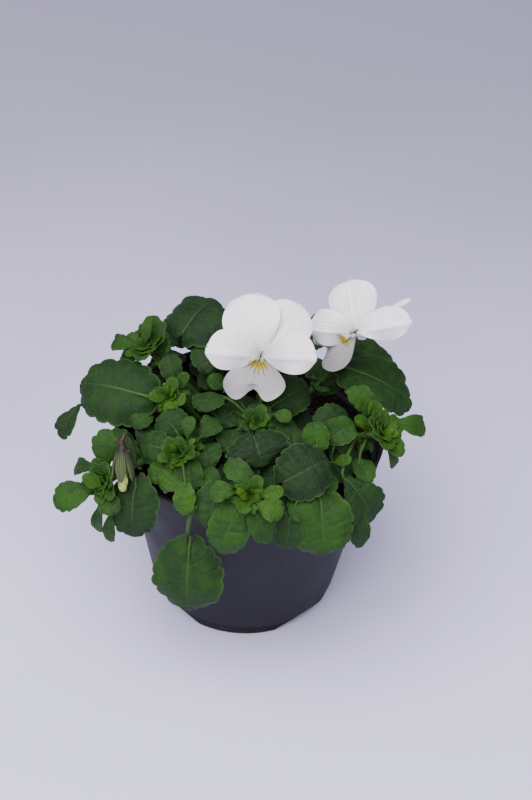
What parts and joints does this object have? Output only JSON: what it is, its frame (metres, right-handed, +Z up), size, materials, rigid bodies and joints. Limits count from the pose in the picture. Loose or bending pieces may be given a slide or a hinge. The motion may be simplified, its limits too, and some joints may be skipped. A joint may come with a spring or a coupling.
{
  "type": "potted viola",
  "caption": "Decorative potted viola: tapered nursery pot of soil with low leafy stems, scalloped round leaves, white blooms of overlapping petals and a drooping bud.",
  "frame": {"origin": "middle of the pot's flat underside", "axes": "+Z up out of the pot, -Y towards the side that is usually looked at, which the hanging leaf and the front bloom face, +X to that viewer's right"},
  "size_m": [0.1442, 0.134, 0.1393],
  "materials": {
    "pot_plastic": "satin, near-black with a violet cast",
    "potting_soil": "rough, dark brown, crumbly",
    "leaf_green": "satin, mid to dark green",
    "petal_white": "soft matt white",
    "bud_yellow": "soft matt pale yellow"
  },
  "bodies": {
    "root": {"pot": "pot_plastic", "soil": "potting_soil", "bloom_front": "petal_white", "bloom_right": "petal_white", "bud_petals": "bud_yellow", "stem_top_left": "leaf_green", "stem_left": "leaf_green", "stem_low_left": "leaf_green", "stem_mid_left": "leaf_green", "stem_front": "leaf_green", "stem_centre": "leaf_green", "stem_mid_right": "leaf_green", "stem_right": "leaf_green", "stem_back_left": "leaf_green", "stem_back_right": "leaf_green", "stem_back": "leaf_green"}
  },
  "joints": []
}
